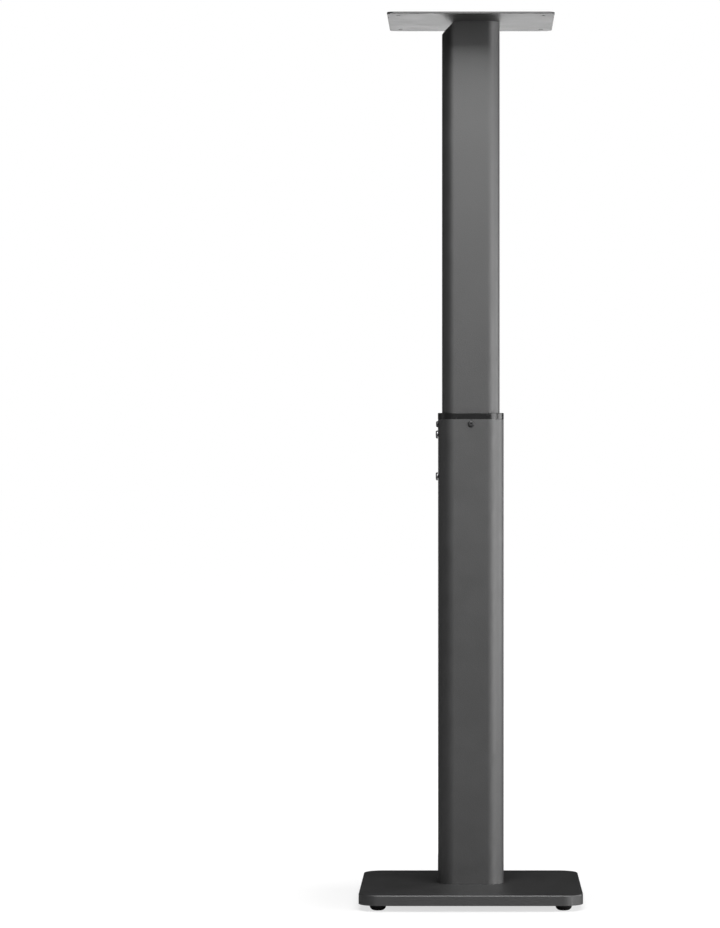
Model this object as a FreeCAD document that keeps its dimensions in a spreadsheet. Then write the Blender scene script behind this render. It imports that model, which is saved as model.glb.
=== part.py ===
"""Height-adjustable speaker stand, modelled at its highest setting, in millimetres.

A square base plate on four rubber feet carries a flat-oval outer column. A slimmer flat-oval
inner column slides in it, between a plastic guide on its own foot and a plastic collar at the
outer column's mouth, and carries the top plate that the speaker stands on. Two screws at the
back pass through the outer column's slot into nuts on the inner column and clamp it.

Frame: +Z up, +X towards the listener (the front), -X the back, where the screws and the cable
way are. The origin is on the floor under the middle of the base.
"""
import FreeCAD
import Part
import Sketcher
import math
import os
import re

# Driving dimensions. Each is the size of one thing, and everything else follows from them.
SIZES = {
    # Height setting
    "lock_pitch": 50.8,             # from one lock screw to the other: one height setting
    "lock_rise": 36.1,              # lower lock screw above the base, at the lowest setting
    "lowered_length": 24.9,         # inner column above the outer one, at the lowest setting
    "column_tail": 14.3,            # inner column's foot below its lower lock screw
    # Clearances
    "running_gap": 0.3,             # between pieces that slide on each other
    "fit_gap": 0.05,                # between pieces that are seated in each other
    "thread_gap": 0.1,              # radial, between a screw and its thread
    "screw_gap": 0.25,              # radial, between a lock screw and what it runs in
    "hole_gap": 0.3,                # radial, between a screw and its clearance hole
    "head_gap": 0.1,                # between a lock screw's head and the outer column
    # Base
    "base_length": 266,
    "base_width": 266,
    "base_thick": 12.5,
    "base_corner": 24,
    "base_edge": 1.5,
    # Feet
    "foot_diameter": 19.6,
    "foot_height": 7.5,
    "foot_edge": 5.8,
    "foot_inset": 23,               # foot's centre to the base's side
    "foot_recess": 4,
    "foot_bore": 7.4,
    "foot_head_diameter": 6.8,
    "foot_washer_diameter": 7,
    "foot_washer_thick": 1,
    "foot_grip": 8,                 # foot screw's length in the base
    # Outer column
    "outer_length": 80,
    "outer_width": 40,
    "outer_wall": 2,
    "outer_height": 562.4,
    # Joint between the outer column and the base
    "foot_plate_thick": 6,
    "bolt_end": 16,                 # bolt's centre to the column's end
    "bolt_side": 11,                # bolt's centre to the column's flat side
    "bolt_thread": 6,
    "bolt_length": 13.5,
    "bolt_head_diameter": 10,
    "bolt_head_height": 4,
    "bolt_socket": 4,
    "bolt_bore": 14,
    "bolt_bore_depth": 6.2,
    "bolt_washer_diameter": 12,
    "bolt_washer_thick": 1.6,
    # Inner column
    "inner_wall": 1.5,
    "cable_notch": 15,              # 45 degree corner cut off for the cable
    # Plastic guides
    "guide_thick": 2.7,
    "guide_lip": 3,
    "guide_lip_rim": 5,
    "collar_height": 7.8,
    "collar_skirt": 12.4,
    "collar_edge": 0.6,
    "stop_gap": 0.5,                # between the guide and the collar at rest
    # M4 screws: collar, feet and top plate
    "small_thread": 4,
    "small_head_diameter": 7.6,
    "small_head_height": 2.2,
    "small_socket": 2.5,
    "collar_screw_drop": 5.7,       # screw's centre below the outer column's mouth
    "collar_screw_length": 4.4,
    # M5 lock screws and their nuts
    "lock_drop": 18.3,              # upper screw's centre below the outer column's mouth
    "lock_thread": 5,
    "lock_length": 14,
    "lock_head_diameter": 10,
    "lock_head_height": 2.5,
    "lock_socket": 3,
    "nut_diameter": 7,
    "nut_length": 12,
    "nut_flange_diameter": 9,
    "nut_flange_thick": 0.8,
    "nut_seat": 1.1,                # guide left under the nut's flange
    "nut_bulge_diameter": 8.8,
    "nut_bulge_length": 3,
    "nut_bulge_gap": 1.1,           # between the wall's crest and the bulge
    # Top plate
    "plate_length": 200,
    "plate_width": 177,
    "plate_thick": 2.5,
    "plate_corner": 8.5,
    "speaker_hole": 5,
    "speaker_hole_end": 13.5,       # hole's centre to the plate's front or back
    "speaker_hole_side": 18.5,      # hole's centre to the plate's side
    "head_plate_thick": 5,
    "head_plate_setback": 6,        # from the cable notch to the head plate
    "plate_screw_end": 7,           # screw's centre to the head plate's back
    "plate_screw_front": 10,        # screw's centre to the inner column's bore, at the front
    "plate_screw_side": 6,          # screw's centre to the inner column's bore, at the side
    "plate_screw_length": 7,
    "sunk_head_diameter": 7.6,
}

# Sizes and heights that follow from the driving dimensions.
DERIVED = {
    "base_top": "foot_height + base_thick",
    "mouth": "base_top + outer_height",
    "bore_length": "outer_length - 2 * outer_wall",
    "bore_width": "outer_width - 2 * outer_wall",
    "inner_length": "bore_length - 2 * (guide_thick + running_gap)",
    "inner_width": "bore_width - 2 * (guide_thick + running_gap)",
    "inner_bore_length": "inner_length - 2 * inner_wall",
    "inner_bore_width": "inner_width - 2 * inner_wall",
    "lock_upper": "mouth - lock_drop",
    "lock_lower": "lock_upper - lock_pitch",
    "travel": "lock_lower - (base_top + lock_rise)",
    "inner_top": "mouth + lowered_length + travel",
    "inner_bottom": "lock_lower - column_tail",
    "slot_width": "lock_thread + 2 * screw_gap",
    "collar_bottom": "mouth - collar_skirt",
    "collar_screw_height": "mouth - collar_screw_drop",
    "guide_top": "collar_bottom - stop_gap",
    "nut_face": "inner_length / 2 + nut_seat",
    "bolt_x": "outer_length / 2 - bolt_end",
    "bolt_y": "outer_width / 2 - bolt_side",
    "bolt_seat": "foot_height + bolt_bore_depth",
    "bolt_face": "bolt_seat - bolt_washer_thick",
    "foot_x": "base_length / 2 - foot_inset",
    "foot_y": "base_width / 2 - foot_inset",
    "foot_face": "foot_recess - foot_washer_thick",
    "foot_screw_length": "foot_height - foot_face + foot_grip",
    "thread_hole": "small_thread + 2 * thread_gap",
    "clear_hole": "small_thread + 2 * hole_gap",
    "head_plate_back": "inner_length / 2 - cable_notch - head_plate_setback",
    "plate_screw_rear_x": "plate_screw_end - head_plate_back",
    "plate_screw_front_x": "inner_bore_length / 2 - plate_screw_front",
    "plate_screw_y": "inner_bore_width / 2 - plate_screw_side",
    "sunk_head_height": "(sunk_head_diameter - small_thread) / 2",
    "speaker_hole_x": "plate_length / 2 - speaker_hole_end",
    "speaker_hole_y": "plate_width / 2 - speaker_hole_side",
}

# How far a cutting shape runs past the face that it opens.
OVERSHOOT = 5

doc = FreeCAD.newDocument("SpeakerStand")
sheet = doc.addObject("Spreadsheet::Sheet", "Sizes")
for row, (alias, value) in enumerate(SIZES.items(), start=1):
    sheet.set(f"A{row}", alias)
    sheet.set(f"B{row}", str(value))
    sheet.setAlias(f"B{row}", alias)
doc.recompute()

sub_parts = []


def formula(text):
    """Return text with each size's name replaced by its cell, and each derived name worked out."""
    def replace(match):
        name = match.group()
        if name in SIZES:
            return f"Sizes.{name}"
        if name in DERIVED:
            return f"({formula(DERIVED[name])})"
        return name
    return re.sub(r"[a-z]\w*", replace, str(text))


def number(text):
    """Return a formula's present value."""
    value = sheet.evalExpression(formula(text))
    return float(getattr(value, "Value", value))


def bind(thing, name, text):
    thing.setExpression(name, formula(text))


# Sketches

def new_sketch(body, plane, offset="0"):
    """Start a sketch on one of the body's origin planes, moved along the plane's normal."""
    sketch = body.newObject("Sketcher::SketchObject", body.Label + "_sketch")
    support = next(item for item in body.Origin.OriginFeatures if item.Role == plane)
    sketch.AttachmentSupport = [(support, "")]
    sketch.MapMode = "FlatFace"
    bind(sketch, "AttachmentOffset.Base.z", offset)
    return sketch


def dimension(sketch, kind, references, text):
    index = sketch.addConstraint(Sketcher.Constraint(kind, *references, number(text)))
    bind(sketch, f"Constraints[{index}]", text)


def place_point(sketch, geometry, point, x, y):
    """Hold a point of the sketch at x, y."""
    dimension(sketch, "DistanceX", (-1, 1, geometry, point), x)
    dimension(sketch, "DistanceY", (-1, 1, geometry, point), y)


def draw_circle(sketch, x, y, diameter):
    centre = FreeCAD.Vector(number(x), number(y), 0)
    circle = Part.Circle(centre, FreeCAD.Vector(0, 0, 1), number(diameter) / 2)
    index = sketch.addGeometry(circle)
    dimension(sketch, "Diameter", (index,), diameter)
    place_point(sketch, index, 3, x, y)


def draw_polygon(sketch, corners):
    points = [FreeCAD.Vector(number(x), number(y), 0) for x, y in corners]
    following = points[1:] + points[:1]
    lines = [sketch.addGeometry(Part.LineSegment(a, b)) for a, b in zip(points, following)]
    for line, after in zip(lines, lines[1:] + lines[:1]):
        sketch.addConstraint(Sketcher.Constraint("Coincident", line, 2, after, 1))
    for line, (x, y) in zip(lines, corners):
        place_point(sketch, line, 1, x, y)


def draw_rectangle(sketch, x_low, x_high, y_low, y_high):
    draw_polygon(sketch, [(x_low, y_low), (x_high, y_low), (x_high, y_high), (x_low, y_high)])


def draw_oval(sketch, start, end, width):
    """Draw a flat oval: two half circles about start and end, joined by straight sides."""
    first = FreeCAD.Vector(number(start[0]), number(start[1]), 0)
    last = FreeCAD.Vector(number(end[0]), number(end[1]), 0)
    radius = number(width) / 2
    along = math.atan2(last.y - first.y, last.x - first.x)
    normal = FreeCAD.Vector(-math.sin(along), math.cos(along), 0) * radius
    quarter = math.pi / 2
    up = FreeCAD.Vector(0, 0, 1)
    left = sketch.addGeometry(Part.LineSegment(first + normal, last + normal))
    right = sketch.addGeometry(Part.LineSegment(last - normal, first - normal))
    last_arc = sketch.addGeometry(
        Part.ArcOfCircle(Part.Circle(last, up, radius), along - quarter, along + quarter))
    first_arc = sketch.addGeometry(
        Part.ArcOfCircle(Part.Circle(first, up, radius), along + quarter, along + 3 * quarter))
    for joint in ((left, 1, first_arc, 1), (left, 2, last_arc, 2),
                  (right, 1, last_arc, 1), (right, 2, first_arc, 2)):
        sketch.addConstraint(Sketcher.Constraint("Tangent", *joint))
    sketch.addConstraint(Sketcher.Constraint("Equal", first_arc, last_arc))
    place_point(sketch, first_arc, 3, *start)
    place_point(sketch, last_arc, 3, *end)
    dimension(sketch, "Radius", (first_arc,), f"({width}) / 2")


def draw_column_oval(sketch, length, width):
    """Draw a column's flat oval, centred, with its long way along X."""
    centre = f"(({length}) - ({width})) / 2"
    draw_oval(sketch, (f"-{centre}", "0"), (centre, "0"), width)


# Features

def new_body(label, listed=True):
    body = doc.addObject("PartDesign::Body", label)
    body.Label = label
    if listed:
        sub_parts.append(body)
    return body


def pad(body, sketch, length):
    feature = body.newObject("PartDesign::Pad", body.Label + "_pad")
    feature.Profile = sketch
    bind(feature, "Length", length)
    doc.recompute()
    return feature


def revolve(body, sketch):
    """Turn the sketch about its own upright axis."""
    feature = body.newObject("PartDesign::Revolution", body.Label + "_turned")
    feature.Profile = sketch
    feature.ReferenceAxis = (sketch, ["V_Axis"])
    feature.Angle = 360
    doc.recompute()
    return feature


def pocket(body, sketch, length, both_ways=False):
    """Cut the sketch's shape against its normal, and make sure that it took something away."""
    before = body.Shape.Volume
    feature = body.newObject("PartDesign::Pocket", body.Label + "_cut")
    feature.Profile = sketch
    if both_ways:
        feature.SideType = "Symmetric"
    bind(feature, "Length", length)
    doc.recompute()
    if not body.Shape.Volume < before:
        raise RuntimeError(f"a cut in {body.Label} took nothing away")
    return feature


def edges_where(shape, wanted):
    return [f"Edge{i}" for i, edge in enumerate(shape.Edges, start=1) if wanted(edge)]


def dress(body, kind, size_name, size, wanted):
    """Add a fillet or a chamfer to the edges that are wanted."""
    base = body.Tip
    names = edges_where(base.Shape, wanted)
    if not names:
        raise RuntimeError(f"{body.Label} has no edge to {kind.lower()}")
    feature = body.newObject(f"PartDesign::{kind}", body.Label + "_" + kind.lower())
    feature.Base = (base, names)
    bind(feature, size_name, size)
    doc.recompute()
    return feature


def fillet(body, radius, wanted):
    return dress(body, "Fillet", "Radius", radius, wanted)


def chamfer(body, size, wanted):
    return dress(body, "Chamfer", "Size", size, wanted)


def is_flat_at(edge, height):
    """Say whether the whole edge lies at that height."""
    box = edge.BoundBox
    level = number(height)
    return abs(box.ZMin - level) < 1e-4 and abs(box.ZMax - level) < 1e-4


def is_upright(edge):
    box = edge.BoundBox
    return box.XLength < 1e-4 and box.YLength < 1e-4 and box.ZLength > 1e-4


def turned(label, corners, listed=True):
    """Make a round piece about its own Z axis from the corners (radius, height) of its section."""
    body = new_body(label, listed)
    sketch = new_sketch(body, "XZ_Plane")
    draw_polygon(sketch, corners)
    revolve(body, sketch)
    return body


def hex_socket(body, across, depth, top):
    """Sink a hexagon socket into the head's top face."""
    sketch = new_sketch(body, "XY_Plane", top)
    corners = [(f"({across}) / sqrt(3) * cos({60 * i})", f"({across}) / sqrt(3) * sin({60 * i})")
               for i in range(6)]
    draw_polygon(sketch, corners)
    pocket(body, sketch, depth)


def put(body, x, y, z, direction=(0, 0, 1)):
    """Place a body's origin at x, y, z with its own Z axis along the direction."""
    up = FreeCAD.Vector(0, 0, 1)
    body.Placement = FreeCAD.Placement(
        FreeCAD.Vector(), FreeCAD.Rotation(up, FreeCAD.Vector(*direction)))
    for name, text in zip("xyz", (x, y, z)):
        bind(body, f"Placement.Base.{name}", text)
    doc.recompute()
    return body


def gather(label, pieces):
    """Keep identical fasteners together as one sub-part of separate solids."""
    group = doc.addObject("Part::Compound", label)
    group.Label = label
    group.Links = pieces
    doc.recompute()
    sub_parts.append(group)


def four_ways(x, y):
    """Return the four places at plus and minus x and y, with a name for each."""
    return [("front_left", x, y), ("front_right", x, f"-({y})"),
            ("rear_left", f"-({x})", y), ("rear_right", f"-({x})", f"-({y})")]


# Fasteners. Each is made with its head above its own origin and its shank below it.

def head_screw(label, thread, length, head_diameter, head_height, socket, rounding, listed=True):
    """Make a socket screw whose head's rim is rounded: a button head when it is rounded a lot."""
    radius = f"{thread} / 2"
    rim = f"{head_diameter} / 2"
    body = turned(label, [
        ("0", f"-{length}"), (radius, f"-{length}"), (radius, "0"),
        (rim, "0"), (rim, head_height), ("0", head_height)], listed)
    fillet(body, rounding, lambda edge: is_flat_at(edge, head_height))
    hex_socket(body, socket, f"{head_height} * 0.6", head_height)
    return body


def button_screw(label, kind, length):
    """Make a button-head screw of one of the two kinds, small (M4) or lock (M5)."""
    return head_screw(label, f"{kind}_thread", length, f"{kind}_head_diameter",
                      f"{kind}_head_height", f"{kind}_socket", f"{kind}_head_height * 0.8")


def washer(label, diameter, bore, thick):
    """Make a flat washer that stands on its own origin."""
    inner = f"({bore}) / 2"
    outer = f"{diameter} / 2"
    return turned(label, [(inner, "0"), (outer, "0"), (outer, thick), (inner, thick)], False)


# Base

def base_plate():
    body = new_body("base_plate")
    outline = new_sketch(body, "XY_Plane", "foot_height")
    draw_rectangle(outline, "-base_length / 2", "base_length / 2",
                   "-base_width / 2", "base_width / 2")
    pad(body, outline, "base_thick")
    fillet(body, "base_corner", is_upright)
    fillet(body, "base_edge", lambda edge: is_flat_at(edge, "base_top"))

    # Bolts come up from below through counterbored holes.
    bolts = four_ways("bolt_x", "bolt_y")
    holes = new_sketch(body, "XY_Plane", "base_top")
    for _, x, y in bolts:
        draw_circle(holes, x, y, "bolt_thread + 2 * hole_gap")
    pocket(body, holes, "base_thick")
    bores = new_sketch(body, "XY_Plane", "bolt_seat")
    for _, x, y in bolts:
        draw_circle(bores, x, y, "bolt_bore")
    pocket(body, bores, "bolt_bore_depth")

    # Blind threads for the foot screws.
    threads = new_sketch(body, "XY_Plane", "foot_height + foot_grip + 1")
    for _, x, y in four_ways("foot_x", "foot_y"):
        draw_circle(threads, x, y, "thread_hole")
    pocket(body, threads, "foot_grip + 1")


def feet():
    bore = "foot_bore / 2"
    hole = "clear_hole / 2"
    rim = "foot_diameter / 2"
    washers = []
    screws = []
    for name, x, y in four_ways("foot_x", "foot_y"):
        foot = turned(f"foot_{name}", [
            (bore, "0"), (rim, "0"), (rim, "foot_height"), (hole, "foot_height"),
            (hole, "foot_recess"), (bore, "foot_recess")])
        outer = number(rim)
        fillet(foot, "foot_edge",
               lambda edge: is_flat_at(edge, "0") and abs(edge.BoundBox.XMax - outer) < 1e-4)
        put(foot, x, y, "0")
        washers.append(put(washer(f"foot_washer_{name}", "foot_washer_diameter", "clear_hole",
                                  "foot_washer_thick"), x, y, "foot_face"))
        screw = head_screw(f"foot_screw_{name}", "small_thread", "foot_screw_length",
                           "foot_head_diameter", "small_head_height", "small_socket",
                           "small_head_height * 0.8", False)
        screws.append(put(screw, x, y, "foot_face", (0, 0, -1)))
    gather("foot_washers", washers)
    gather("foot_screws", screws)


# Outer column and its joint to the base

def outer_column():
    body = new_body("outer_column")
    section = new_sketch(body, "XY_Plane", "base_top")
    draw_column_oval(section, "outer_length", "outer_width")
    draw_column_oval(section, "bore_length", "bore_width")
    pad(body, section, "outer_height")

    # The slot in the back spans the lower screw's lowest place to the upper one's highest. A
    # cable comes out at its foot.
    rear = f"outer_length / 2 + {OVERSHOOT}"
    slot = new_sketch(body, "YZ_Plane")
    draw_oval(slot, ("0", "lock_lower - travel"), ("0", "lock_upper"), "slot_width")
    pocket(body, slot, rear)

    rear_hole = new_sketch(body, "YZ_Plane")
    draw_circle(rear_hole, "0", "collar_screw_height", "clear_hole")
    pocket(body, rear_hole, rear)
    side_holes = new_sketch(body, "XZ_Plane")
    draw_circle(side_holes, "0", "collar_screw_height", "clear_hole")
    pocket(body, side_holes, f"outer_width + {OVERSHOOT}", both_ways=True)


def column_foot_plate():
    body = new_body("column_foot_plate")
    section = new_sketch(body, "XY_Plane", "base_top")
    draw_column_oval(section, "bore_length - 2 * fit_gap", "bore_width - 2 * fit_gap")
    for _, x, y in four_ways("bolt_x", "bolt_y"):
        draw_circle(section, x, y, "bolt_thread + 2 * thread_gap")
    pad(body, section, "foot_plate_thick")


def base_bolts():
    bolts = []
    washers = []
    for name, x, y in four_ways("bolt_x", "bolt_y"):
        bolt = head_screw(f"base_bolt_{name}", "bolt_thread", "bolt_length", "bolt_head_diameter",
                          "bolt_head_height", "bolt_socket", "bolt_head_height * 0.1", False)
        bolts.append(put(bolt, x, y, "bolt_face", (0, 0, -1)))
        washers.append(put(washer(f"base_washer_{name}", "bolt_washer_diameter",
                                  "bolt_thread + 2 * hole_gap", "bolt_washer_thick"),
                           x, y, "bolt_face"))
    gather("base_bolts", bolts)
    gather("base_washers", washers)


# Collar at the outer column's mouth

def guide_collar():
    body = new_body("guide_collar")
    flange = new_sketch(body, "XY_Plane", "mouth")
    draw_column_oval(flange, "outer_length", "outer_width")
    pad(body, flange, "collar_height")
    fillet(body, "collar_edge", lambda edge: is_flat_at(edge, "mouth + collar_height"))
    skirt = new_sketch(body, "XY_Plane", "collar_bottom")
    draw_column_oval(skirt, "bore_length - 2 * fit_gap", "bore_width - 2 * fit_gap")
    pad(body, skirt, "collar_skirt")
    bore = new_sketch(body, "XY_Plane", "mouth + collar_height")
    draw_column_oval(bore, "inner_length + 2 * running_gap", "inner_width + 2 * running_gap")
    pocket(body, bore, "collar_height + collar_skirt")

    rear_hole = new_sketch(body, "YZ_Plane")
    draw_circle(rear_hole, "0", "collar_screw_height", "thread_hole")
    pocket(body, rear_hole, "outer_length / 2")
    side_holes = new_sketch(body, "XZ_Plane")
    draw_circle(side_holes, "0", "collar_screw_height", "thread_hole")
    pocket(body, side_holes, "outer_width", both_ways=True)


def collar_screws():
    places = {
        "rear": ("-outer_length / 2", "0", (-1, 0, 0)),
        "left": ("0", "outer_width / 2", (0, 1, 0)),
        "right": ("0", "-outer_width / 2", (0, -1, 0)),
    }
    for name, (x, y, outwards) in places.items():
        screw = button_screw(f"collar_screw_{name}", "small", "collar_screw_length")
        put(screw, x, y, "collar_screw_height", outwards)


# Inner column and what slides with it

def inner_column():
    body = new_body("inner_column")
    section = new_sketch(body, "XY_Plane", "inner_bottom")
    draw_column_oval(section, "inner_length", "inner_width")
    draw_column_oval(section, "inner_bore_length", "inner_bore_width")
    pad(body, section, "inner_top - inner_bottom")

    # The top rear corner is cut off at 45 degrees: the cable goes in there.
    back = f"-(inner_length / 2 + {OVERSHOOT})"
    above = f"inner_top + {OVERSHOOT}"
    notch = new_sketch(body, "XZ_Plane")
    draw_polygon(notch, [
        (back, f"inner_top - cable_notch - {OVERSHOOT}"),
        (f"cable_notch + {OVERSHOOT} - inner_length / 2", above),
        (back, above)])
    pocket(body, notch, f"inner_width + {OVERSHOOT}", both_ways=True)

    nuts = new_sketch(body, "YZ_Plane")
    for height in ("lock_upper", "lock_lower"):
        draw_circle(nuts, "0", height, "nut_diameter + 2 * fit_gap")
    pocket(body, nuts, "inner_length")


def lower_guide():
    """The sleeve on the inner column's foot runs in the outer column and stops at the collar."""
    body = new_body("lower_guide")
    sleeve = new_sketch(body, "XY_Plane", "inner_bottom - guide_lip")
    draw_column_oval(sleeve, "bore_length - 2 * running_gap", "bore_width - 2 * running_gap")
    pad(body, sleeve, "guide_top - inner_bottom + guide_lip")
    seat = new_sketch(body, "XY_Plane", "guide_top")
    draw_column_oval(seat, "inner_length + 2 * fit_gap", "inner_width + 2 * fit_gap")
    pocket(body, seat, "guide_top - inner_bottom")
    mouth = new_sketch(body, "XY_Plane", "inner_bottom")
    draw_column_oval(mouth, "inner_length - 2 * guide_lip_rim", "inner_width - 2 * guide_lip_rim")
    pocket(body, mouth, "guide_lip")

    # The nuts' flanges are sunk into its back, where they hold it to the column.
    flanges = new_sketch(body, "YZ_Plane", "-nut_face")
    holes = new_sketch(body, "YZ_Plane")
    for height in ("lock_upper", "lock_lower"):
        draw_circle(flanges, "0", height, "nut_flange_diameter + 2 * running_gap")
        draw_circle(holes, "0", height, "nut_diameter + 2 * fit_gap")
    pocket(body, flanges, "outer_length / 2")
    pocket(body, holes, "outer_length / 2")


def lock_nuts():
    """Rivet nuts: a flange, a threaded barrel and the bulge that grips behind the wall."""
    bore = "slot_width / 2"
    barrel = "nut_diameter / 2"
    bulge = "nut_bulge_diameter / 2"
    bulge_top = "-(nut_seat + inner_wall + nut_bulge_gap)"
    bulge_bottom = f"{bulge_top} - nut_bulge_length"
    for name, height in (("upper", "lock_upper"), ("lower", "lock_lower")):
        nut = turned(f"lock_nut_{name}", [
            (bore, "-nut_length"), (barrel, "-nut_length"), (barrel, bulge_bottom),
            (bulge, bulge_bottom), (bulge, bulge_top), (barrel, bulge_top), (barrel, "0"),
            ("nut_flange_diameter / 2", "0"), ("nut_flange_diameter / 2", "nut_flange_thick"),
            (bore, "nut_flange_thick")])
        put(nut, "-nut_face", "0", height, (-1, 0, 0))


def lock_screws():
    for name, height in (("upper", "lock_upper"), ("lower", "lock_lower")):
        screw = button_screw(f"lock_screw_{name}", "lock", "lock_length")
        put(screw, "-(outer_length / 2 + head_gap)", "0", height, (-1, 0, 0))


# Top plate and its joint to the inner column

def plate_screw_places():
    return [(f"{end}_{side}", x, y)
            for end, x in (("front", "plate_screw_front_x"), ("rear", "plate_screw_rear_x"))
            for side, y in (("left", "plate_screw_y"), ("right", "-plate_screw_y"))]


def head_plate():
    """A threaded plate welded in the inner column's top, set back to leave the cable way open."""
    body = new_body("head_plate")
    section = new_sketch(body, "XY_Plane", "inner_top - head_plate_thick")
    draw_column_oval(section, "inner_bore_length - 2 * fit_gap", "inner_bore_width - 2 * fit_gap")
    pad(body, section, "head_plate_thick")
    way = new_sketch(body, "XY_Plane", "inner_top")
    draw_rectangle(way, "-inner_length / 2", "-head_plate_back",
                   "-inner_width / 2", "inner_width / 2")
    pocket(body, way, "head_plate_thick")
    threads = new_sketch(body, "XY_Plane", "inner_top")
    for _, x, y in plate_screw_places():
        draw_circle(threads, x, y, "thread_hole")
    pocket(body, threads, "head_plate_thick")


def top_plate():
    body = new_body("top_plate")
    outline = new_sketch(body, "XY_Plane", "inner_top")
    draw_rectangle(outline, "-plate_length / 2", "plate_length / 2",
                   "-plate_width / 2", "plate_width / 2")
    pad(body, outline, "plate_thick")
    fillet(body, "plate_corner", is_upright)
    holes = new_sketch(body, "XY_Plane", "inner_top + plate_thick")
    for _, x, y in four_ways("speaker_hole_x", "speaker_hole_y"):
        draw_circle(holes, x, y, "speaker_hole")
    pocket(body, holes, "plate_thick")
    screw_holes = new_sketch(body, "XY_Plane", "inner_top + plate_thick")
    for _, x, y in plate_screw_places():
        draw_circle(screw_holes, x, y, "thread_hole")
    pocket(body, screw_holes, "plate_thick")

    # The screw holes are countersunk: they are the round rims on top that lie near the middle.
    reach = number("inner_length / 2")

    def is_screw_rim(edge):
        box = edge.BoundBox
        return is_flat_at(edge, "inner_top + plate_thick") and max(box.XMax, -box.XMin) < reach

    chamfer(body, "sunk_head_height", is_screw_rim)


def plate_screws():
    radius = "small_thread / 2"
    rim = "sunk_head_diameter / 2"
    screws = []
    for name, x, y in plate_screw_places():
        screw = turned(f"plate_screw_{name}", [
            ("0", "-plate_screw_length"), (radius, "-plate_screw_length"),
            (radius, "-sunk_head_height"), (rim, "0"), ("0", "0")], False)
        hex_socket(screw, "small_socket", "sunk_head_height * 0.7", "0")
        screws.append(put(screw, x, y, "inner_top + plate_thick"))
    gather("plate_screws", screws)


for build in (base_plate, feet, outer_column, column_foot_plate, base_bolts, guide_collar,
              collar_screws, inner_column, lower_guide, lock_nuts, lock_screws, head_plate,
              top_plate, plate_screws):
    build()
doc.recompute()

for item in doc.Objects:
    if "Invalid" in item.State or "Error" in item.State:
        raise RuntimeError(f"{item.Label} failed: {item.State}")
for item in sub_parts:
    if item.Shape.isNull() or not item.Shape.isValid():
        raise RuntimeError(f"{item.Label} has no valid shape")

os.makedirs("parts", exist_ok=True)
for item in sub_parts:
    item.Shape.exportStep(f"parts/{item.Label}.step")
    box = item.Shape.BoundBox
    print(f"{item.Label:22} solids {len(item.Shape.Solids)}  volume {item.Shape.Volume:11.1f}  "
          f"x {box.XMin:8.2f} {box.XMax:8.2f}  y {box.YMin:8.2f} {box.YMax:8.2f}  "
          f"z {box.ZMin:8.2f} {box.ZMax:8.2f}")
print(f"height {number('inner_top + plate_thick'):.1f}, lowest setting "
      f"{number('inner_top + plate_thick - travel'):.1f}, travel {number('travel'):.1f}")
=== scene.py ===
import math

import bmesh
import bpy
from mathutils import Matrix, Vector


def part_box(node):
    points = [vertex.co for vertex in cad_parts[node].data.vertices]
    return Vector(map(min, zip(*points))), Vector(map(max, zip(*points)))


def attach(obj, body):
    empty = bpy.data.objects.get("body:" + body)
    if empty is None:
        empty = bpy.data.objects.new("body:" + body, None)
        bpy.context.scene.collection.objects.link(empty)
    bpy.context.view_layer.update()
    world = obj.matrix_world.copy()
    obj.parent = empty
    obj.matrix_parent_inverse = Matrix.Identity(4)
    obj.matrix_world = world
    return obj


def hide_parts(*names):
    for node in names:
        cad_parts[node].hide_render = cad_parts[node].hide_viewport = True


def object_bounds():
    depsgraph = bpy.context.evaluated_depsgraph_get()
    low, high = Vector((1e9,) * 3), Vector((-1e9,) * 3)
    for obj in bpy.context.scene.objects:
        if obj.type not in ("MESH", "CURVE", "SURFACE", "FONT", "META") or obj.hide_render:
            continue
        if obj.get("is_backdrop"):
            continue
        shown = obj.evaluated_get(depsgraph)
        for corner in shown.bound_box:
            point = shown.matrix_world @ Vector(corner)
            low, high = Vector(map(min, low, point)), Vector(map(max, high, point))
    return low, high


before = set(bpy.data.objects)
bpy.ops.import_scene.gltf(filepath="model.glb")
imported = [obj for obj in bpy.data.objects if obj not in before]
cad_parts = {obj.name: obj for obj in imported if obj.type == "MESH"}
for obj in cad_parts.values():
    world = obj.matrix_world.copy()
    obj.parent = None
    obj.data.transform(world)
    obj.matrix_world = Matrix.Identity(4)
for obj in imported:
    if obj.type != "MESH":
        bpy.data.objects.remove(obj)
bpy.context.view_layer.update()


# Studio
# A level camera looks at the stand's right side from 4.4 m, as in the photograph, and a white
# floor runs far behind the stand. A large soft light hangs high in front, so that the top plate
# shades the column. Others stand on the right, and weak ones fill in on the left and behind.

def new_object(name, data):
    """Put a mesh, light or camera in the scene under that name."""
    thing = bpy.data.objects.new(name, data)
    bpy.context.scene.collection.objects.link(thing)
    return thing


def new_node(tree, kind, values=None, **settings):
    """Add a node. Values are for its input sockets, and a value may be another node's output."""
    node = tree.nodes.new(kind)
    for name, value in settings.items():
        setattr(node, name, value)
    for socket, value in (values or {}).items():
        if isinstance(value, bpy.types.NodeSocket):
            tree.links.new(value, node.inputs[socket])
        else:
            node.inputs[socket].default_value = value
    return node


def calculate(tree, operation, *values):
    """Add a maths node and return its output."""
    return new_node(tree, "ShaderNodeMath", dict(enumerate(values)),
                    operation=operation).outputs[0]


def remap(tree, value, given, made, interpolation="LINEAR"):
    """Add a node that maps the given range to the made one, and return its output."""
    return new_node(tree, "ShaderNodeMapRange", {
        "Value": value, "From Min": given[0], "From Max": given[1], "To Min": made[0],
        "To Max": made[1]}, interpolation_type=interpolation).outputs[0]


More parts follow.
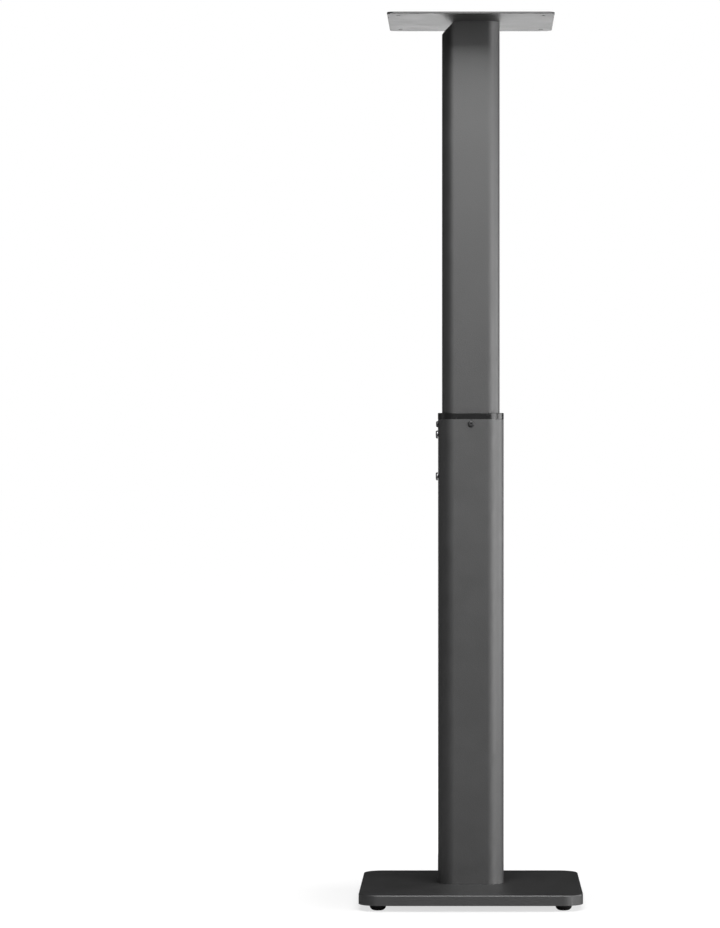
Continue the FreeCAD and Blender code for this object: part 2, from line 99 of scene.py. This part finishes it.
def studio_floor():
    """A white floor whose glow is dimmed near the stand as a painted shadow. Mirrored rays see only
    a strip of it far behind, glowing brighter than white.
    """
    half = 60
    mesh = bpy.data.meshes.new("floor")
    mesh.from_pydata([(-half, -half, 0), (half, -half, 0), (half, half, 0), (-half, half, 0)],
                     [], [(0, 1, 2, 3)])
    paint = bpy.data.materials.new("floor")
    paint.use_nodes = True
    tree = paint.node_tree
    tree.nodes.clear()
    matt = new_node(tree, "ShaderNodeBsdfDiffuse", {"Color": (0.3, 0.3, 0.3, 1)})
    place = new_node(tree, "ShaderNodeTexCoord").outputs["Object"]
    sides = new_node(tree, "ShaderNodeSeparateXYZ", {0: place})
    distance = new_node(tree, "ShaderNodeVectorMath", {0: place},
                        operation="LENGTH").outputs["Value"]
    # Painted reflection: far behind the stand a strip of floor glows up to 6.4 times white for
    # mirrored rays only, so the top plate's underside shows it brightly.
    far = remap(tree, distance, (2.5, 6.0), (0.0, 6.4), "SMOOTHSTEP")
    aside = calculate(tree, "ABSOLUTE", sides.outputs["X"])
    narrow = remap(tree, aside, (1.0, 3.5), (1.0, 0.05), "SMOOTHSTEP")
    behind = calculate(tree, "GREATER_THAN", sides.outputs["Y"], 0.0)
    strip = calculate(tree, "MULTIPLY", far, calculate(tree, "MULTIPLY", narrow, behind))
    path = new_node(tree, "ShaderNodeLightPath")
    mirrored = calculate(tree, "MAXIMUM", path.outputs["Is Glossy Ray"],
                         path.outputs["Is Transmission Ray"])
    seen = calculate(tree, "MAXIMUM", calculate(tree, "MULTIPLY", mirrored, strip),
                     path.outputs["Is Camera Ray"])
    # Painted shadow: the floor's glow is 0.66 under the base and rises to full white 0.6 m out, so
    # the floor looks pale grey beneath the stand.
    painted_shadow_near_stand = remap(tree, distance, (0.1, 0.6), (0.66, 1.0))
    light = new_node(tree, "ShaderNodeEmission",
                     {"Strength": calculate(tree, "MULTIPLY", seen, painted_shadow_near_stand)})
    both = new_node(tree, "ShaderNodeAddShader", {0: matt.outputs[0], 1: light.outputs[0]})
    below = new_node(tree, "ShaderNodeNewGeometry")
    clear = new_node(tree, "ShaderNodeBsdfTransparent")
    faces = new_node(tree, "ShaderNodeMixShader", {0: below.outputs["Backfacing"],
                                                   1: both.outputs[0], 2: clear.outputs[0]})
    new_node(tree, "ShaderNodeOutputMaterial", {"Surface": faces.outputs[0]})
    mesh.materials.append(paint)
    new_object("floor", mesh)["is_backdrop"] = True


def studio_room():
    """White for the camera, and dark where the stand mirrors it."""
    room = bpy.data.worlds.new("room")
    bpy.context.scene.world = room
    room.use_nodes = True
    tree = room.node_tree
    tree.nodes.clear()
    dark = new_node(tree, "ShaderNodeBackground", {"Color": (0, 0, 0, 1)})
    white = new_node(tree, "ShaderNodeBackground", {"Color": (1, 1, 1, 1)})
    path = new_node(tree, "ShaderNodeLightPath")
    choice = new_node(tree, "ShaderNodeMixShader", {0: path.outputs["Is Camera Ray"],
                                                    1: dark.outputs[0], 2: white.outputs[0]})
    new_node(tree, "ShaderNodeOutputWorld", {"Surface": choice.outputs[0]})


def soft_light(name, azimuth, elevation, distance, width, height, radiance, aim):
    """A lit rectangle, azimuth degrees to the camera's right, aimed at that height on the axis."""
    lamp = bpy.data.lights.new(name, "AREA")
    lamp.shape = "RECTANGLE"
    lamp.size, lamp.size_y = width, height
    lamp.energy = radiance * math.pi * width * height
    around, up = math.radians(azimuth), math.radians(elevation)
    away = Vector((math.sin(around) * math.cos(up), -math.cos(around) * math.cos(up),
                   math.sin(up)))
    light = new_object(name, lamp)
    light.location = Vector((0, 0, aim)) + away * distance
    light.rotation_euler = (-away).to_track_quat("-Z", "Y").to_euler()
    light.visible_camera = False


camera_distance = 4.411
camera_height = 0.5283

lens = bpy.data.cameras.new("camera")
lens.lens = 140.87
lens.shift_x = -0.1194
lens.clip_end = 200
camera = new_object("camera", lens)
camera.location = (0, -camera_distance, camera_height)
camera.rotation_euler = (math.pi / 2, 0, 0)
bpy.context.scene.camera = camera
bpy.context.scene.view_settings.view_transform = "Standard"

studio_floor()
studio_room()
soft_light("front_light", azimuth=0, elevation=45, distance=2.4, width=1.6, height=1.5,
           radiance=10.2, aim=0.7)
soft_light("low_front_light", azimuth=0, elevation=18, distance=2.6, width=1.6, height=0.9,
           radiance=1.0, aim=0.55)
soft_light("key_light", azimuth=51, elevation=4, distance=2.6, width=1.8, height=0.8,
           radiance=8.3, aim=0.42)
soft_light("high_key_light", azimuth=45, elevation=45, distance=2.4, width=1.3, height=1.0,
           radiance=2.8, aim=0.7)
soft_light("side_light", azimuth=100, elevation=4, distance=2.6, width=1.8, height=0.8,
           radiance=5.9, aim=0.42)
soft_light("left_fill_light", azimuth=-88, elevation=4, distance=2.6, width=1.4, height=0.8,
           radiance=0.4, aim=0.42)
soft_light("rear_fill_light", azimuth=-140, elevation=38, distance=2.6, width=1.2, height=1.2,
           radiance=0.2, aim=0.5)


# Base plate
# A 12.5 mm steel plate with round corners and a small round on its top edge. Four bolts come up
# through counterbored holes, and each foot has a blind thread. It has a fine-textured satin
# black powder coat.

MM = 0.001


def loft(name, loops, ring=False):
    """Skin a row of loops of points. The ends are closed, or joined to each other in a ring."""
    bm = bmesh.new()
    rows = [[bm.verts.new(point) for point in loop] for loop in loops]
    for row, following in zip(rows, rows[1:] + rows[:1] if ring else rows[1:]):
        for i, corner in enumerate(row):
            bm.faces.new((corner, row[i - 1], following[i - 1], following[i]))
    if not ring:
        bm.faces.new(rows[0])
        bm.faces.new(rows[-1])
    bmesh.ops.recalc_face_normals(bm, faces=bm.faces)
    mesh = bpy.data.meshes.new(name)
    bm.to_mesh(mesh)
    bm.free()
    mesh.shade_smooth()
    return new_object(name, mesh)


def outline(half_x, half_y, corner, inset=0.0, steps=12):
    """Points round a rectangle with round corners. A corner as large as half_y makes an oval."""
    points = []
    same_point = 0.001 * MM
    for quarter, (side_x, side_y) in enumerate(((1, 1), (-1, 1), (-1, -1), (1, -1))):
        for step in range(steps + 1):
            angle = (quarter + step / steps) * math.pi / 2
            point = Vector((side_x * (half_x - corner) + (corner - inset) * math.cos(angle),
                            side_y * (half_y - corner) + (corner - inset) * math.sin(angle)))
            if not points or min((point - points[-1]).length,
                                 (point - points[0]).length) > same_point:
                points.append(point)
    return points


def extrude(name, half_x, half_y, corner, section, ring=False, steps=12):
    """Sweep a section of (inset, height) pairs round an outline."""
    return loft(name, [[(p.x, p.y, height) for p in outline(half_x, half_y, corner, inset, steps)]
                       for inset, height in section], ring)


def quarter_round(inset, height, radius, start, end, steps=5):
    """Section points on an arc about (inset, height). 0 degrees is outwards, 90 is up."""
    return [(inset - radius * math.cos(math.radians(start + (end - start) * i / steps)),
             height + radius * math.sin(math.radians(start + (end - start) * i / steps)))
            for i in range(steps + 1)]


def circle(across, up, diameter, steps=48):
    """Points round a circle about (across, up)."""
    return [(across + diameter / 2 * math.cos(math.tau * i / steps),
             up + diameter / 2 * math.sin(math.tau * i / steps)) for i in range(steps)]


def drill(x, y, low, high, diameter, steps=48):
    """A cutter for a round upright hole."""
    return loft("drill", [[(a, b, z) for a, b in circle(x, y, diameter, steps)]
                          for z in (low, high)])


def plain(piece):
    """Make the piece's modifiers part of its mesh."""
    graph = bpy.context.evaluated_depsgraph_get()
    mesh = bpy.data.meshes.new_from_object(piece.evaluated_get(graph), depsgraph=graph)
    piece.modifiers.clear()
    piece.data = mesh


def cut(piece, cutters):
    """Take the cutters' shapes out of the piece."""
    for cutter in cutters:
        hole = piece.modifiers.new("hole", "BOOLEAN")
        hole.object = cutter
        hole.operation = "DIFFERENCE"
        hole.solver = "EXACT"
    bpy.context.view_layer.update()
    plain(piece)
    for cutter in cutters:
        bpy.data.objects.remove(cutter)
    piece.data.shade_smooth()


def break_edges(piece, width):
    """Take the sharpness off the piece's edges, and shade its flats flat."""
    edge = piece.modifiers.new("broken_edges", "BEVEL")
    edge.width = width
    edge.segments = 2
    edge.limit_method = "ANGLE"
    edge.angle_limit = math.radians(40)
    edge.use_clamp_overlap = True
    shade = piece.modifiers.new("flat_faces", "WEIGHTED_NORMAL")
    shade.keep_sharp = True


def fit(piece, body, slot, *nodes):
    """Fix the finished piece to its body, in the place of the CAD nodes."""
    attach(piece, body)
    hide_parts(*nodes)


def surface_grain():
    """Fine bumps, with a little variation in colour and sheen, as on coated or moulded faces."""
    tree = bpy.data.node_groups.new("surface grain", "ShaderNodeTree")
    for label, kind, value in (("Colour", "NodeSocketColor", (0.5, 0.5, 0.5, 1)),
                               ("Roughness", "NodeSocketFloat", 0.5),
                               ("Grain size", "NodeSocketFloat", 0.8 * MM),
                               ("Grain depth", "NodeSocketFloat", 0.3),
                               ("Mottle", "NodeSocketFloat", 0.1),
                               ("Sheen change", "NodeSocketFloat", 0.05)):
        socket = tree.interface.new_socket(label, in_out="INPUT", socket_type=kind)
        socket.default_value = value
    for label, kind in (("Colour", "NodeSocketColor"), ("Roughness", "NodeSocketFloat"),
                        ("Normal", "NodeSocketVector")):
        tree.interface.new_socket(label, in_out="OUTPUT", socket_type=kind)
    given = tree.nodes.new("NodeGroupInput").outputs
    place = new_node(tree, "ShaderNodeTexCoord").outputs["Object"]
    grain = new_node(tree, "ShaderNodeTexNoise", {
        "Vector": place, "Scale": calculate(tree, "DIVIDE", 1.0, given["Grain size"]),
        "Detail": 2.0, "Roughness": 0.55})
    cloud = new_node(tree, "ShaderNodeTexNoise", {"Vector": place, "Scale": 34.0, "Detail": 3.0})
    uneven = calculate(tree, "ADD", calculate(tree, "SUBTRACT", cloud.outputs["Fac"], 0.5),
                       calculate(tree, "SUBTRACT", grain.outputs["Fac"], 0.5))
    tint = calculate(tree, "MULTIPLY_ADD", uneven, given["Mottle"], 1.0)
    colour = new_node(tree, "ShaderNodeVectorMath", {0: given["Colour"], "Scale": tint},
                      operation="SCALE")
    sheen = calculate(tree, "MULTIPLY_ADD", uneven, given["Sheen change"], given["Roughness"])
    bumps = new_node(tree, "ShaderNodeBump", {
        "Strength": given["Grain depth"], "Height": grain.outputs["Fac"],
        "Distance": calculate(tree, "MULTIPLY", given["Grain size"], 0.35)})
    new_node(tree, "NodeGroupOutput", {"Colour": colour.outputs[0], "Roughness": sheen,
                                       "Normal": bumps.outputs[0]})
    return tree


grain_group = surface_grain()


def finish(name, colour, roughness, grain_size, grain_depth, mottle, sheen_change, **shader):
    """A material with surface grain. Shader holds values for the shader's own sockets."""
    material = bpy.data.materials.new(name)
    material.use_nodes = True
    tree = material.node_tree
    tree.nodes.clear()
    grain = new_node(tree, "ShaderNodeGroup", node_tree=grain_group)
    for socket, value in (("Colour", (*colour, 1)), ("Roughness", roughness),
                          ("Grain size", grain_size), ("Grain depth", grain_depth),
                          ("Mottle", mottle), ("Sheen change", sheen_change)):
        grain.inputs[socket].default_value = value
    surface = new_node(tree, "ShaderNodeBsdfPrincipled", {
        "Base Color": grain.outputs["Colour"], "Roughness": grain.outputs["Roughness"],
        "Normal": grain.outputs["Normal"],
        **{socket.replace("_", " "): value for socket, value in shader.items()}})
    new_node(tree, "ShaderNodeOutputMaterial", {"Surface": surface.outputs[0]})
    return material


powder_coat = finish(
    "satin black powder coat", (0.011, 0.011, 0.0114), roughness=0.5, grain_size=0.9 * MM,
    grain_depth=0.35, mottle=0.5, sheen_change=0.12, IOR=1.6, Specular_IOR_Level=1.0)

past = MM  # how far a cutter starts outside the face that it cuts

base_low, base_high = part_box("base_plate")
base_corner = 24 * MM
base_edge = 1.5 * MM
bolt_places = [(x * 24 * MM, y * 9 * MM) for x in (-1, 1) for y in (-1, 1)]
bolt_hole = 6.6 * MM
counterbore = 14 * MM
counterbore_top = base_low.z + 6.2 * MM
foot_places = [(x * 110 * MM, y * 110 * MM) for x in (-1, 1) for y in (-1, 1)]
foot_thread = 4.2 * MM
foot_thread_top = base_low.z + 9 * MM

base_plate = extrude(
    "base_plate_coated", base_high.x, base_high.y, base_corner,
    [(0, base_low.z), *quarter_round(base_edge, base_high.z - base_edge, base_edge, 0, 90)],
    steps=16)
cut(base_plate,
    [drill(x, y, base_low.z - past, counterbore_top, counterbore) for x, y in bolt_places]
    + [drill(x, y, counterbore_top - past, base_high.z + past, bolt_hole)
       for x, y in bolt_places]
    + [drill(x, y, base_low.z - past, foot_thread_top, foot_thread, 24)
       for x, y in foot_places])
break_edges(base_plate, 0.3 * MM)
base_plate.data.materials.append(powder_coat)
fit(base_plate, "stand_base", "powder_coat", "base_plate")


# Feet
# Four moulded rubber feet, each with a recess that holds a washer and the head of the M4 screw
# that goes up into the base.

def turned(name, rings, steps=48, ring=False):
    """A turned piece about Z from (radius, height) rings. A radius may depend on the angle."""
    loops = []
    for radius, height in rings:
        loop = []
        for i in range(steps):
            angle = math.tau * i / steps
            reach = radius(angle, height) if callable(radius) else radius
            loop.append((reach * math.cos(angle), reach * math.sin(angle), height))
        loops.append(loop)
    return loft(name, loops, ring)


def hexagon(across):
    """A ring's radius round a hexagon of that width across its flats."""
    return lambda angle, height: across / 2 / math.cos(angle % (math.pi / 3) - math.pi / 6)


def places_tree():
    """Geometry nodes that put a turned copy of a piece on every vertex, along its 'outward'."""
    tree = bpy.data.node_groups.new("pieces in their places", "GeometryNodeTree")
    sockets = {}
    for label, kind in (("Places", "NodeSocketGeometry"), ("Piece", "NodeSocketObject"),
                        ("Finish", "NodeSocketMaterial"), ("Seed", "NodeSocketInt")):
        sockets[label] = tree.interface.new_socket(label, in_out="INPUT",
                                                   socket_type=kind).identifier
    tree.interface.new_socket("Pieces", in_out="OUTPUT", socket_type="NodeSocketGeometry")
    given = tree.nodes.new("NodeGroupInput").outputs
    piece = new_node(tree, "GeometryNodeObjectInfo", {"Object": given["Piece"]})
    outward = new_node(tree, "GeometryNodeInputNamedAttribute", {"Name": "outward"},
                       data_type="FLOAT_VECTOR")
    lined_up = new_node(tree, "FunctionNodeAlignRotationToVector",
                        {"Vector": outward.outputs["Attribute"]}, axis="Z")
    copies = new_node(tree, "GeometryNodeInstanceOnPoints", {
        "Points": given["Places"], "Instance": piece.outputs["Geometry"],
        "Rotation": lined_up.outputs[0]})
    chance = new_node(tree, "FunctionNodeRandomValue", {"Seed": given["Seed"]},
                      data_type="FLOAT")
    turn = calculate(tree, "MULTIPLY", chance.outputs[1], math.tau)
    about = new_node(tree, "ShaderNodeCombineXYZ", {"Z": turn})
    twisted = new_node(tree, "GeometryNodeRotateInstances", {
        "Instances": copies.outputs[0], "Rotation": about.outputs[0], "Local Space": True})
    solid = new_node(tree, "GeometryNodeRealizeInstances", {0: twisted.outputs[0]})
    painted = new_node(tree, "GeometryNodeSetMaterial", {
        "Geometry": solid.outputs[0], "Material": given["Finish"]})
    new_node(tree, "NodeGroupOutput", {0: painted.outputs[0]})
    return tree, sockets


place_tree, place_sockets = places_tree()


def put(name, piece, places, outward, material, seed=1):
    """Put copies of the piece at the places, with their own Z along outward."""
    mesh = bpy.data.meshes.new(name)
    mesh.from_pydata(places, [], [])
    directions = mesh.attributes.new("outward", "FLOAT_VECTOR", "POINT")
    for i in range(len(places)):
        directions.data[i].vector = outward
    group = new_object(name, mesh)
    nodes = group.modifiers.new("places", "NODES")
    nodes.node_group = place_tree
    for label, value in (("Piece", piece), ("Finish", material), ("Seed", seed)):
        nodes[place_sockets[label]] = value
    bpy.context.view_layer.update()
    plain(group)
    group.data.shade_smooth()
    group.data.set_sharp_from_angle(angle=math.radians(35))
    bpy.data.objects.remove(piece)
    return group


def washer(name, bore, diameter, thick):
    """A flat washer that stands on Z = 0, with its rims rounded by the press."""
    rim = 0.15 * MM
    return turned(name, [
        (bore / 2, rim), (bore / 2, thick - rim), (bore / 2 + rim, thick),
        (diameter / 2 - rim, thick), (diameter / 2, thick - rim), (diameter / 2, rim),
        (diameter / 2 - rim, 0), (bore / 2 + rim, 0)], ring=True)


def button_head(diameter, height, across):
    """Rings of a button head and its hexagon socket, from the rim to the socket's floor."""
    rim = diameter / 2
    rim_edge = 0.15 * MM
    dome = 0.8 * height
    mouth = 0.6 * across
    chamfer = 0.2 * MM
    socket_floor = 0.4 * height
    rings = [(rim - rim_edge, 0), (rim, rim_edge)]
    rings += [(rim - inset, z) for inset, z in quarter_round(dome, height - dome, dome, 0, 90, 8)]
    if mouth < rings[-1][0]:
        rings.append((mouth, height))
    return rings + [(hexagon(across), height - chamfer), (hexagon(across), socket_floor),
                    (0.25 * across, socket_floor - chamfer)]


def button_screw(diameter, length, tip_chamfer, head, height, across):
    """A button screw, head up, whose seat is at Z = 0."""
    return turned("screw", [
        (diameter / 2 - tip_chamfer, -length), (diameter / 2, tip_chamfer - length),
        (diameter / 2, 0), *button_head(head, height, across)])


foot_rubber = finish(
    "moulded rubber", (0.010, 0.010, 0.010), roughness=0.62, grain_size=0.5 * MM,
    grain_depth=0.25, mottle=0.4, sheen_change=0.1, Specular_IOR_Level=0.35)
black_steel = finish(
    "black oxide steel", (0.018, 0.018, 0.019), roughness=0.38, grain_size=0.3 * MM,
    grain_depth=0.15, mottle=0.4, sheen_change=0.15, Specular_IOR_Level=0.6)
plated_steel = finish(
    "zinc-plated steel", (0.29, 0.29, 0.30), roughness=0.36, grain_size=0.4 * MM,
    grain_depth=0.12, mottle=0.15, sheen_change=0.12, Metallic=1.0)

foot_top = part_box("foot_front_left")[1].z
foot_radius = 9.8 * MM
foot_edge = 5.8 * MM
foot_bore = 2.3 * MM
recess_radius = 3.7 * MM
recess_top = 4 * MM
foot_washer_thick = 1 * MM
foot_screw_seat = recess_top - foot_washer_thick

foot = turned("foot", [
    (foot_bore, foot_top), (foot_radius - 0.2 * MM, foot_top), (foot_radius, foot_top - 0.2 * MM),
    *[(foot_radius - inset, z) for inset, z in
      quarter_round(foot_edge, foot_edge, foot_edge, 0, -90, 10)],
    (recess_radius + 0.1 * MM, 0), (recess_radius, 0.1 * MM), (recess_radius, recess_top),
    (foot_bore, recess_top)], 64, ring=True)
feet = put("rubber_feet", foot, [(x, y, 0) for x, y in foot_places], (0, 0, 1), foot_rubber)
fit(feet, "stand_base", "foot_rubber", "foot_front_left", "foot_front_right", "foot_rear_left",
    "foot_rear_right")

foot_washers = put("foot_screw_washers", washer("washer", 4.6 * MM, 7 * MM, foot_washer_thick),
                   [(x, y, foot_screw_seat) for x, y in foot_places], (0, 0, 1), plated_steel)
fit(foot_washers, "stand_base", "plated_steel", "foot_washers")

foot_screw = button_screw(4 * MM, 12.5 * MM, 0.4 * MM, head=6.8 * MM, height=2.2 * MM,
                          across=2.5 * MM)
foot_screws = put("foot_button_screws", foot_screw,
                  [(x, y, foot_screw_seat) for x, y in foot_places], (0, 0, -1), black_steel,
                  seed=3)
fit(foot_screws, "stand_base", "black_steel", "foot_screws")


# Outer column
# A flat-oval steel tube, 80 x 40 x 2 mm, coated as the base. Its back has a long slot for the
# lock screws, where a cable comes out too, and a clearance hole for each of the collar's screws.

def column_tube(name, low, high, wall, steps=32):
    """An upright flat-oval tube between the two corners of its box."""
    return extrude(name, high.x, high.y, high.y,
                   [(0, low.z), (0, high.z), (wall, high.z), (wall, low.z)], True, steps)


def milled(points, axis, near, far):
    """A cutter with that outline, from near to far along the axis."""
    if axis == "X":
        return loft("mill", [[(x, a, b) for a, b in points] for x in (near, far)])
    return loft("mill", [[(a, y, b) for a, b in points] for y in (near, far)])


outer_low, outer_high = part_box("outer_column")
outer_wall = 2 * MM
mouth = outer_high.z
screw_height = mouth - 5.7 * MM
screw_clearance = 4.6 * MM
slot_low, slot_high = 56.1 * MM, 564.1 * MM
slot_half = 2.75 * MM
slot_outline = [(slot_half * math.cos(math.radians(angle)),
                 end + slot_half * math.sin(math.radians(angle)))
                for end, start in ((slot_high, 0), (slot_low, 180))
                for angle in range(start, start + 181, 12)]
behind = outer_low.x - 5 * MM
inside = -20 * MM
beside = 30 * MM

outer_column = column_tube("outer_column_coated", outer_low, outer_high, outer_wall)
cut(outer_column, [
    milled(slot_outline, "X", behind, inside),
    milled(circle(0, screw_height, screw_clearance, 24), "X", behind, 0),
    milled(circle(0, screw_height, screw_clearance, 24), "Y", -beside, beside)])
break_edges(outer_column, 0.35 * MM)
outer_column.data.materials.append(powder_coat)
fit(outer_column, "stand_base", "powder_coat", "outer_column")


# Joint between the column and the base
# A bare steel plate is welded in the column's foot. Four M6 socket screws with washers come up
# through the base and into its threads.

def refinish(material, *nodes):
    """Give CAD nodes that stay in view a better material."""
    for name in nodes:
        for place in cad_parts[name].material_slots:
            place.material = material


def knurled(radius, cuts, depth=0.12 * MM):
    """A ring's radius round a knurled head."""
    return lambda angle, height: radius - (depth if round(angle / math.tau * cuts * 2) % 2 else 0)


bare_steel = finish(
    "bare mild steel", (0.30, 0.30, 0.31), roughness=0.42, grain_size=0.5 * MM,
    grain_depth=0.25, mottle=0.35, sheen_change=0.2, Metallic=1.0)
refinish(bare_steel, "column_foot_plate")

bolt_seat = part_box("base_washers")[0].z
bolt_washers = put("base_bolt_washers", washer("washer", 6.6 * MM, 12 * MM, 1.6 * MM),
                   [(x, y, bolt_seat) for x, y in bolt_places], (0, 0, 1), plated_steel)
fit(bolt_washers, "stand_base", "plated_steel", "base_washers")

shank, shank_tip = 3 * MM, -13.5 * MM
cap, cap_top = 5 * MM, 4 * MM
bolt_socket = hexagon(4 * MM)
bolt = turned("bolt", [
    (shank - 0.4 * MM, shank_tip), (shank, shank_tip + 0.5 * MM), (shank, 0),
    (cap - 0.3 * MM, 0), (knurled(cap, 36), 0.3 * MM), (knurled(cap, 36), cap_top - 0.6 * MM),
    (cap - 0.15 * MM, cap_top - 0.25 * MM), (cap - 0.5 * MM, cap_top), (2.7 * MM, cap_top),
    (bolt_socket, cap_top - 0.3 * MM), (bolt_socket, 1.6 * MM), (1 * MM, 1.3 * MM)], 72)
base_bolts = put("base_socket_screws", bolt, [(x, y, bolt_seat) for x, y in bolt_places],
                 (0, 0, -1), black_steel, seed=5)
fit(base_bolts, "stand_base", "black_steel", "base_bolts")


# Collar
# A gloss black moulding that closes the outer column's mouth: a flange flush with the column, a
# skirt inside it, and a bore that guides the inner column. Three M4 button screws hold it, at
# the back and on both sides.

gloss_black_plastic = finish(
    "gloss black moulding", (0.012, 0.012, 0.012), roughness=0.26, grain_size=6 * MM,
    grain_depth=0.05, mottle=0.1, sheen_change=0.06, Specular_IOR_Level=0.4)

collar_low, collar_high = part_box("guide_collar")
collar_edge = 0.6 * MM
collar_wall = 4.7 * MM
collar_thread = 4.2 * MM
skirt_inset = 2.05 * MM
lead_in = 0.4 * MM
flange_chamfer = 0.12 * MM
skirt_chamfer = 0.2 * MM
collar = extrude("collar_moulding", collar_high.x, collar_high.y, collar_high.y, [
    (skirt_inset + lead_in, collar_low.z), (skirt_inset, collar_low.z + lead_in),
    (skirt_inset, mouth), (flange_chamfer, mouth), (0, mouth + flange_chamfer),
    *quarter_round(collar_edge, collar_high.z - collar_edge, collar_edge, 0, 90),
    (collar_wall - lead_in, collar_high.z),
    (collar_wall - flange_chamfer, collar_high.z - flange_chamfer),
    (collar_wall, collar_high.z - lead_in), (collar_wall, collar_low.z + skirt_chamfer),
    (collar_wall - skirt_chamfer, collar_low.z)], True, 24)
cut(collar, [
    milled(circle(0, screw_height, collar_thread, 24), "X", behind, 0),
    milled(circle(0, screw_height, collar_thread, 24), "Y", -beside, beside)])
break_edges(collar, 0.1 * MM)
collar.data.materials.append(gloss_black_plastic)
fit(collar, "stand_base", "gloss_black_plastic", "guide_collar")

for side, place, outward, seed in (
        ("rear", (outer_low.x, 0, screw_height), (-1, 0, 0), 4),
        ("left", (0, outer_high.y, screw_height), (0, 1, 0), 4),
        ("right", (0, outer_low.y, screw_height), (0, -1, 0), 5)):
    screw = button_screw(4 * MM, 4.4 * MM, 0.3 * MM, head=7.6 * MM, height=2.2 * MM,
                         across=2.5 * MM)
    collar_screw = put(f"collar_button_screw_{side}", screw, [place], outward, black_steel, seed)
    fit(collar_screw, "stand_base", "black_steel", f"collar_screw_{side}")


# Inner column
# A flat-oval tube, 70 x 30 x 1.5 mm, in the same coat. Its top rear corner is cut off at 45
# degrees, where the cable goes in. A nylon guide on its foot runs in the outer column, and two
# rivet nuts in its back take the lock screws.

inner_low, inner_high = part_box("inner_column")
inner_wall = 1.5 * MM
notch = 15 * MM
corner_past = 5 * MM
nut_hole = 7.1 * MM
nut_heights = [(low.z + high.z) / 2 for low, high in
               (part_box("lock_nut_upper"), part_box("lock_nut_lower"))]

inner_column = column_tube("inner_column_coated", inner_low, inner_high, inner_wall)
cut(inner_column, [
    milled([(inner_low.x - corner_past, inner_high.z - notch - corner_past),
            (inner_low.x + notch + corner_past, inner_high.z + corner_past),
            (inner_low.x - corner_past, inner_high.z + corner_past)], "Y", -beside, beside),
    *[milled(circle(0, height, nut_hole), "X", behind, inside) for height in nut_heights]])
break_edges(inner_column, 0.3 * MM)
inner_column.data.materials.append(powder_coat)
fit(inner_column, "lift", "powder_coat", "inner_column")

guide_plastic = finish(
    "matt black nylon", (0.03, 0.03, 0.031), roughness=0.5, grain_size=0.8 * MM,
    grain_depth=0.15, mottle=0.2, sheen_change=0.08)
refinish(guide_plastic, "lower_guide")
refinish(plated_steel, "lock_nut_upper", "lock_nut_lower")


# Lock screws
# Two M5 button screws in plated steel. They pass through the outer column's slot into the rivet
# nuts, and clamp the inner column where it stands.

def thread(crest, root, pitch):
    """A ring's radius on a screw thread, with flat crests and roots and even slopes between."""
    crest_half, slope = 0.15, 0.25

    def radius(angle, height):
        from_crest = abs((height / pitch - angle / math.tau) % 1 - 0.5)
        rise = (crest_half + slope - from_crest) / slope
        return root + (crest - root) * min(1, max(0, rise))
    return radius


lock_thread = thread(2.5 * MM, 2.1 * MM, 0.8 * MM)
lock_head = 2.5 * MM
ring_step = 0.1 * MM
for which, seed in (("upper", 13), ("lower", 12)):
    low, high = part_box(f"lock_screw_{which}")
    seat = low.x + lock_head
    tip = -(high.x - seat)
    threaded = [(lock_thread, tip + 0.5 * MM + ring_step * i)
                for i in range(int((-tip - 1.2 * MM) / ring_step))]
    screw = turned("screw", [(1.7 * MM, tip), (2.05 * MM, tip + 0.4 * MM), *threaded,
                             (2.1 * MM, -0.6 * MM), (2.4 * MM, 0),
                             *button_head(10 * MM, lock_head, 3 * MM)])
    lock_screw = put(f"lock_button_screw_{which}", screw,
                     [(seat, 0, (low.z + high.z) / 2)], (-1, 0, 0), plated_steel, seed)
    fit(lock_screw, f"{which}_lock", "plated_steel", f"lock_screw_{which}")


# Top plate
# A 2.5 mm steel sheet with round corners and a hole near each corner for the speaker's screws,
# coated as the columns. Four countersunk M4 screws hold it to a bare steel plate that is welded
# in the inner column's top, set back to leave the cable way open.

refinish(bare_steel, "head_plate")

plate_low, plate_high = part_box("top_plate")
plate_corner = 8.5 * MM
speaker_hole = 5 * MM
speaker_holes = [(x * 86.5 * MM, y * 70 * MM) for x in (-1, 1) for y in (-1, 1)]
screw_places = [(x * MM, y * 7.5 * MM) for x in (-7, 23.5) for y in (-1, 1)]
screw_bore = 4.2 * MM
sunk = 1.8 * MM


def countersink(x, y):
    """A cutter for a countersunk hole in the plate's top."""
    return loft("sink", [[(a, b, z) for a, b in circle(x, y, diameter)] for diameter, z in (
        (screw_bore, plate_low.z - past), (screw_bore, plate_high.z - sunk),
        (screw_bore + 2 * (sunk + past), plate_high.z + past))])


top_plate = extrude("top_plate_coated", plate_high.x, plate_high.y, plate_corner,
                    [(0, plate_low.z), (0, plate_high.z)])
cut(top_plate, [drill(x, y, plate_low.z - past, plate_high.z + past, speaker_hole)
                for x, y in speaker_holes]
    + [countersink(x, y) for x, y in screw_places])
break_edges(top_plate, 0.3 * MM)
top_plate.data.materials.append(powder_coat)
fit(top_plate, "lift", "powder_coat", "top_plate")

sunk_socket = hexagon(2.5 * MM)
sunk_screw = turned("screw", [
    (1.7 * MM, -7 * MM), (2 * MM, -6.7 * MM), (2 * MM, -sunk), (3.75 * MM, -0.05 * MM),
    (3.65 * MM, 0), (1.6 * MM, 0), (sunk_socket, -0.15 * MM), (sunk_socket, -1.25 * MM),
    (0.6 * MM, -1.4 * MM)])
plate_screws = put("sunk_plate_screws", sunk_screw,
                   [(x, y, plate_high.z) for x, y in screw_places], (0, 0, 1), black_steel,
                   seed=11)
fit(plate_screws, "lift", "black_steel", "plate_screws")


# The box of the model as shown, floor aside.
low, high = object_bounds()
